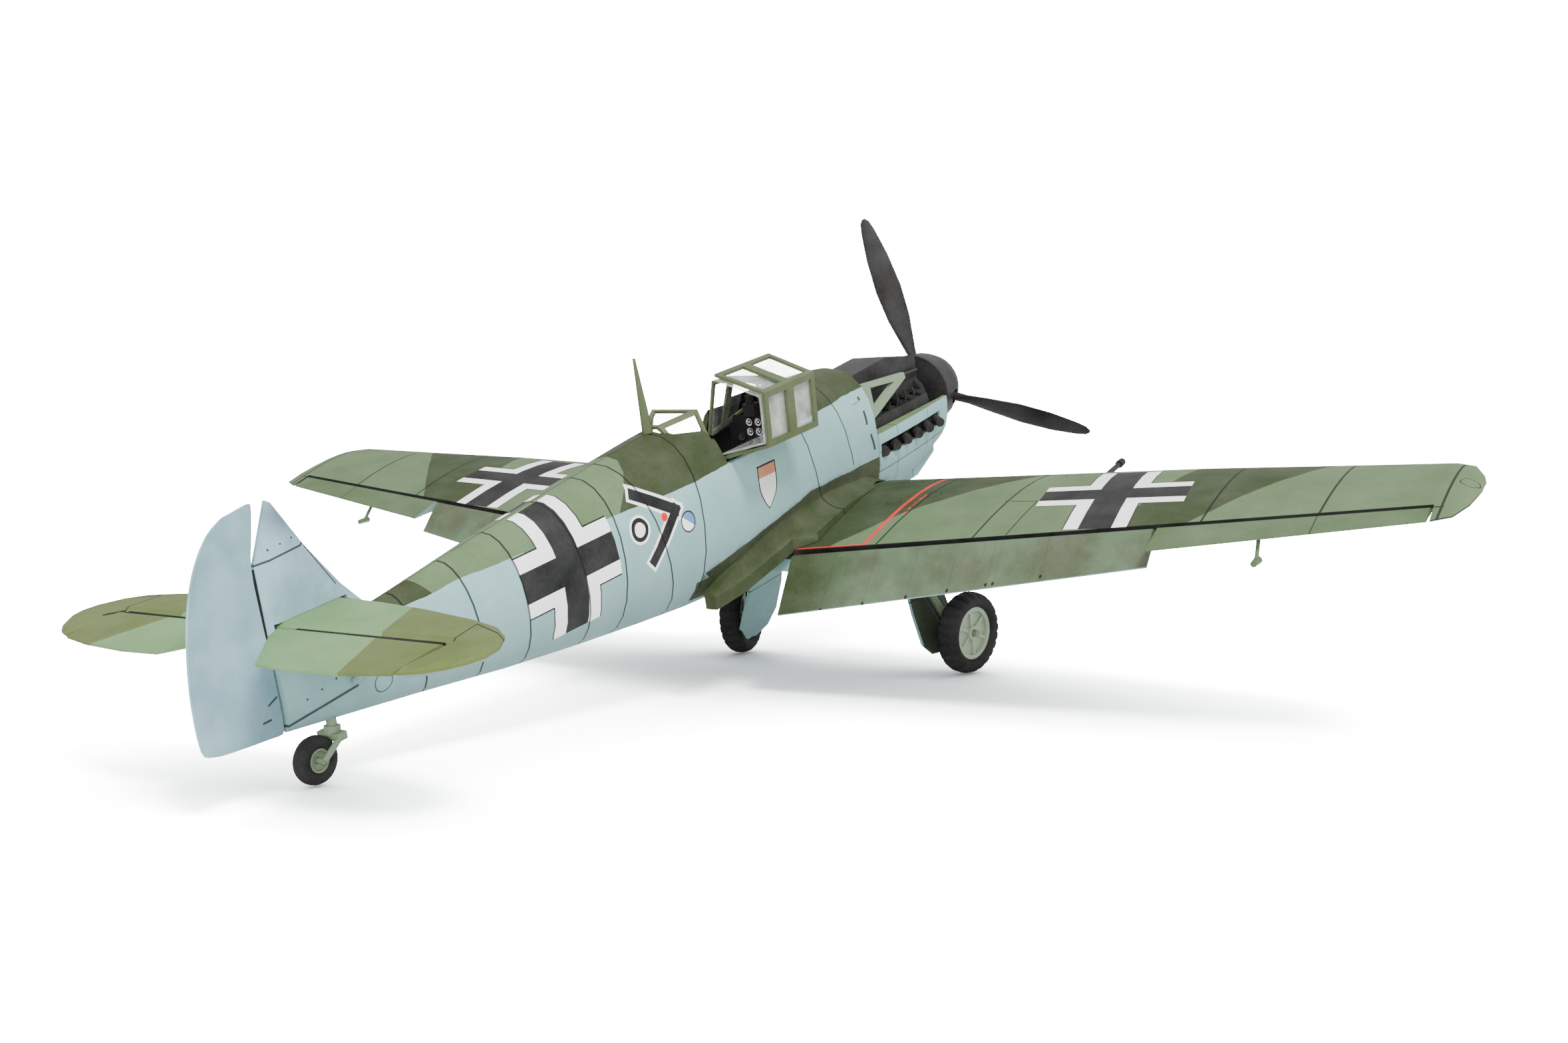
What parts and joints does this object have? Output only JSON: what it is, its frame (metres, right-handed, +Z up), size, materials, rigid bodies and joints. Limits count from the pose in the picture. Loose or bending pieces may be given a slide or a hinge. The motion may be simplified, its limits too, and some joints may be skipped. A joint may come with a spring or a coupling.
{
  "type": "propeller plane model",
  "caption": "Scale kit model of a single-engined low-wing propeller fighter with turning propeller, hinged control surfaces, opening cockpit hood and rolling wheels.",
  "frame": {"origin": "on the ground under the middle of the model's overall box, in its plane of symmetry", "axes": "+Y aft, +X to the aircraft's left (port) wing tip, +Z up; the nose points along -Y and is tilted up because the model stands on its tail wheel"},
  "size_m": [0.2058, 0.1712, 0.0775],
  "materials": {
    "light_blue_paint": "painted plastic, matt, lightly weathered",
    "camouflage_paint": "painted plastic, matt, two greens",
    "dark_green_paint": "painted plastic, matt",
    "black_paint": "painted plastic, satin black-brown",
    "grey_green_paint": "painted plastic, satin",
    "tyre_paint": "painted plastic, dead matt",
    "interior_paint": "painted plastic, matt",
    "clear_plastic": "clear polystyrene, polished"
  },
  "bodies": {
    "airframe": {"lower_wing": "light_blue_paint", "upper_wing_left": "camouflage_paint", "upper_wing_right": "camouflage_paint", "cannon_barrel_left": "black_paint", "cannon_barrel_right": "black_paint", "radiator_left": "light_blue_paint", "radiator_right": "light_blue_paint", "pitot_tube": "light_blue_paint", "windscreen_frame": "dark_green_paint", "windscreen_glass": "clear_plastic", "rear_canopy_frame": "dark_green_paint", "rear_canopy_glass": "clear_plastic", "fuselage_left": "light_blue_paint", "fuselage_right": "light_blue_paint", "firewall": "interior_paint", "cockpit_floor": "interior_paint", "seat": "interior_paint", "control_stick": "black_paint", "instrument_panel": "interior_paint", "gunsight": "black_paint", "aerial_mast": "dark_green_paint", "lower_cowling": "light_blue_paint", "engine": "black_paint", "exhaust_left": "black_paint", "engine_bearer_left": "grey_green_paint", "exhaust_right": "black_paint", "engine_bearer_right": "grey_green_paint", "fin": "light_blue_paint", "tailplane_left": "camouflage_paint", "tail_strut_left": "light_blue_paint", "tailplane_right": "camouflage_paint", "tail_strut_right": "light_blue_paint", "gear_leg_left": "grey_green_paint", "gear_door_left": "light_blue_paint", "gear_leg_right": "grey_green_paint", "gear_door_right": "light_blue_paint"},
    "propeller": {"spinner": "black_paint", "spinner_backplate": "black_paint", "propeller_shaft": "black_paint", "propeller_blade_1": "black_paint", "propeller_blade_2": "black_paint", "propeller_blade_3": "black_paint"},
    "hood": {"hood_frame": "dark_green_paint", "hood_glass": "clear_plastic"},
    "rudder": {"rudder": "light_blue_paint"},
    "elevator_left": {"elevator_left": "camouflage_paint"},
    "elevator_right": {"elevator_right": "camouflage_paint"},
    "aileron_left": {"aileron_left": "camouflage_paint"},
    "aileron_right": {"aileron_right": "camouflage_paint"},
    "flap_left": {"flap_left": "camouflage_paint"},
    "flap_right": {"flap_right": "camouflage_paint"},
    "wheel_left": {"wheel_hub_left": "grey_green_paint", "tyre_left": "tyre_paint"},
    "wheel_right": {"wheel_hub_right": "grey_green_paint", "tyre_right": "tyre_paint"},
    "tail_fork": {"tail_fork": "grey_green_paint"},
    "tail_wheel": {"tail_wheel_hub": "grey_green_paint", "tail_tyre": "tyre_paint"}
  },
  "joints": [
    {"name": "propeller_spin", "type": "hinge", "parent": "airframe", "child": "propeller", "pos_m": [0, -0.08697, 0.04959], "axis": [0, 0.9691, -0.2467], "continuous": true},
    {"name": "hood_hinge", "type": "hinge", "parent": "airframe", "child": "hood", "pos_m": [-0.0064, -0.01761, 0.03833], "axis": [0, 0.9691, -0.2467], "range_deg": [-2, 92]},
    {"name": "rudder_hinge", "type": "hinge", "parent": "airframe", "child": "rudder", "pos_m": [0, 0.07128, 0.0093], "axis": [0, 0.2467, 0.9691], "range_deg": [-45, 5]},
    {"name": "elevator_left_hinge", "type": "hinge", "parent": "airframe", "child": "elevator_left", "pos_m": [0.0016, 0.07211, 0.01744], "axis": [1, 0, 0], "range_deg": [-22, 25]},
    {"name": "elevator_right_hinge", "type": "hinge", "parent": "airframe", "child": "elevator_right", "pos_m": [-0.0016, 0.07211, 0.01744], "axis": [1, 0, 0], "range_deg": [-22, 25]},
    {"name": "aileron_left_hinge", "type": "hinge", "parent": "airframe", "child": "aileron_left", "pos_m": [0.06471, -0.01923, 0.02581], "axis": [0.9925, -0.0341, 0.1177], "range_deg": [-20, 20]},
    {"name": "aileron_right_hinge", "type": "hinge", "parent": "airframe", "child": "aileron_right", "pos_m": [-0.06471, -0.01923, 0.02581], "axis": [0.9925, 0.0341, -0.1177], "range_deg": [-20, 20]},
    {"name": "flap_left_hinge", "type": "hinge", "parent": "airframe", "child": "flap_left", "pos_m": [0.01002, -0.01735, 0.01933], "axis": [0.9925, -0.0341, 0.1176], "range_deg": [-9, 30]},
    {"name": "flap_right_hinge", "type": "hinge", "parent": "airframe", "child": "flap_right", "pos_m": [-0.01002, -0.01735, 0.01933], "axis": [0.9925, 0.0341, -0.1176], "range_deg": [-9, 30]},
    {"name": "wheel_left_spin", "type": "hinge", "parent": "airframe", "child": "wheel_left", "pos_m": [0.0221, -0.05126, 0.00665], "axis": [0.9816, 0.1849, -0.0471], "continuous": true},
    {"name": "wheel_right_spin", "type": "hinge", "parent": "airframe", "child": "wheel_right", "pos_m": [-0.0221, -0.05126, 0.00665], "axis": [0.9816, -0.1849, 0.0471], "continuous": true},
    {"name": "tail_fork_swivel", "type": "hinge", "parent": "airframe", "child": "tail_fork", "pos_m": [0, 0.06459, 0.011], "axis": [0, 0.2467, 0.9691], "range_deg": [-60, 60]},
    {"name": "tail_wheel_spin", "type": "hinge", "parent": "tail_fork", "child": "tail_wheel", "pos_m": [0, 0.06579, 0.00275], "axis": [1, 0, 0], "continuous": true}
  ],
  "couplings": [
    {"joint": "elevator_right_hinge", "follows": "elevator_left_hinge", "ratio": 1},
    {"joint": "aileron_right_hinge", "follows": "aileron_left_hinge", "ratio": -1},
    {"joint": "flap_right_hinge", "follows": "flap_left_hinge", "ratio": 1}
  ]
}
